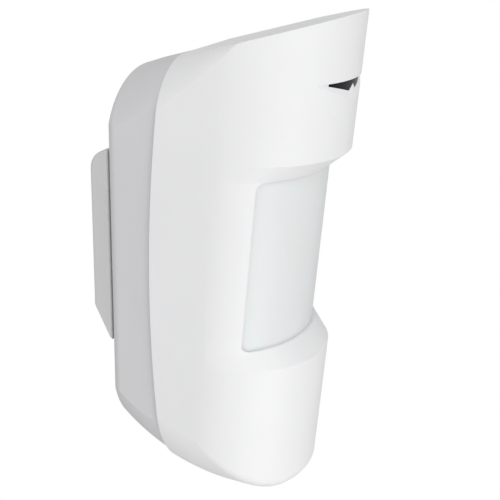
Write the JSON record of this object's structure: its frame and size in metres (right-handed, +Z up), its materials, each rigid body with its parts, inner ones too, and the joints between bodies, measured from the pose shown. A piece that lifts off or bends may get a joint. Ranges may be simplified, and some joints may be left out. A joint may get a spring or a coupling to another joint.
{
  "type": "motion sensor",
  "caption": "Outdoor wall-mounted passive infrared motion sensor: white leaning hood over a recessed curved lens, slide-on wall bracket, opening front cover.",
  "frame": {"origin": "centre of the four wall screws, in the plane of the wall", "axes": "+Z up along the housing, +Y into the wall, the front with the lens faces -Y"},
  "size_m": [0.073, 0.0932, 0.185],
  "materials": {
    "wall_bracket": "fine moulded texture, off-white",
    "bracket_lock_screw": "zinc plated",
    "rear_shell": "fine moulded texture, white",
    "cover_gasket": "closed-cell foam cord",
    "front_cover": "satin moulded, white",
    "fresnel_lens": "milky translucent polyethylene",
    "lens_frame": "moulded, white",
    "masking_window": "polished black, infrared-clear",
    "cover_screw": "zinc plated",
    "board_screws": "zinc plated",
    "main_board": "solder mask, green",
    "radio_module": "tinned shield can",
    "microcontroller": "moulded epoxy, black",
    "power_switch": "moulded, black",
    "power_button": "moulded, light grey",
    "range_trimmer": "moulded, blue",
    "trimmer_rotor": "moulded, white",
    "status_led": "clear red epoxy",
    "antenna": "bare wire",
    "tamper_switch": "moulded, black",
    "tamper_plunger": "moulded, light grey",
    "tamper_spring": "spring wire",
    "sensor_chassis": "moulded, black",
    "sensor_board": "solder mask, green",
    "lower_pir_sensor": "nickel-plated can",
    "upper_pir_sensor": "nickel-plated can",
    "mask_board": "solder mask, green",
    "mask_emitter": "clear epoxy",
    "mask_receiver": "dark epoxy",
    "battery_holder": "moulded, black",
    "battery_left": "printed sleeve, plain",
    "battery_right": "printed sleeve, plain",
    "battery_contacts": "nickel-plated spring steel",
    "cable_plug": "moulded rubber"
  },
  "bodies": {
    "wall_bracket": {"wall_bracket": "wall_bracket"},
    "bracket_lock_screw": {"bracket_lock_screw": "bracket_lock_screw"},
    "housing": {"rear_shell": "rear_shell", "cover_gasket": "cover_gasket", "main_board": "main_board", "board_screws": "board_screws", "radio_module": "radio_module", "microcontroller": "microcontroller", "power_switch": "power_switch", "range_trimmer": "range_trimmer", "status_led": "status_led", "antenna": "antenna", "tamper_switch": "tamper_switch", "tamper_spring": "tamper_spring", "sensor_chassis": "sensor_chassis", "sensor_board": "sensor_board", "lower_pir_sensor": "lower_pir_sensor", "upper_pir_sensor": "upper_pir_sensor", "mask_board": "mask_board", "mask_emitter": "mask_emitter", "mask_receiver": "mask_receiver", "battery_holder": "battery_holder", "battery_left": "battery_left", "battery_right": "battery_right", "battery_contacts": "battery_contacts", "cable_plug": "cable_plug"},
    "front_cover": {"front_cover": "front_cover", "fresnel_lens": "fresnel_lens", "lens_frame": "lens_frame", "masking_window": "masking_window"},
    "cover_screw": {"cover_screw": "cover_screw"},
    "tamper_plunger": {"tamper_plunger": "tamper_plunger"},
    "power_button": {"power_button": "power_button"},
    "trimmer_rotor": {"trimmer_rotor": "trimmer_rotor"}
  },
  "joints": [
    {"name": "housing_lift", "type": "slide", "parent": "wall_bracket", "child": "housing", "axis": [0, 0, 1], "range_m": [0, 0.006]},
    {"name": "lock_screw_turn", "type": "hinge", "parent": "wall_bracket", "child": "bracket_lock_screw", "pos_m": [0, -0.0042, -0.027], "axis": [0, 0, 1], "continuous": true},
    {"name": "cover_swing", "type": "hinge", "parent": "housing", "child": "front_cover", "pos_m": [0, -0.0338, 0.07568], "axis": [-1, 0, 0], "range_deg": [0, 32]},
    {"name": "cover_screw_turn", "type": "hinge", "parent": "front_cover", "child": "cover_screw", "pos_m": [0, -0.04, -0.0912], "axis": [0, 0, 1], "continuous": true},
    {"name": "tamper_press", "type": "slide", "parent": "housing", "child": "tamper_plunger", "axis": [0, -1, 0], "range_m": [0, 0.0015], "stiffness_N_per_m": 300, "springref_m": -0.001, "deforming": ["tamper_spring"]},
    {"name": "power_button_press", "type": "slide", "parent": "housing", "child": "power_button", "axis": [0, 1, 0], "range_m": [0, 0.0005], "stiffness_N_per_m": 1500, "springref_m": -0.0005},
    {"name": "range_trimmer_turn", "type": "hinge", "parent": "housing", "child": "trimmer_rotor", "pos_m": [-0.0242, -0.0216, 0.006], "axis": [0, -1, 0], "range_deg": [-135, 135]}
  ]
}
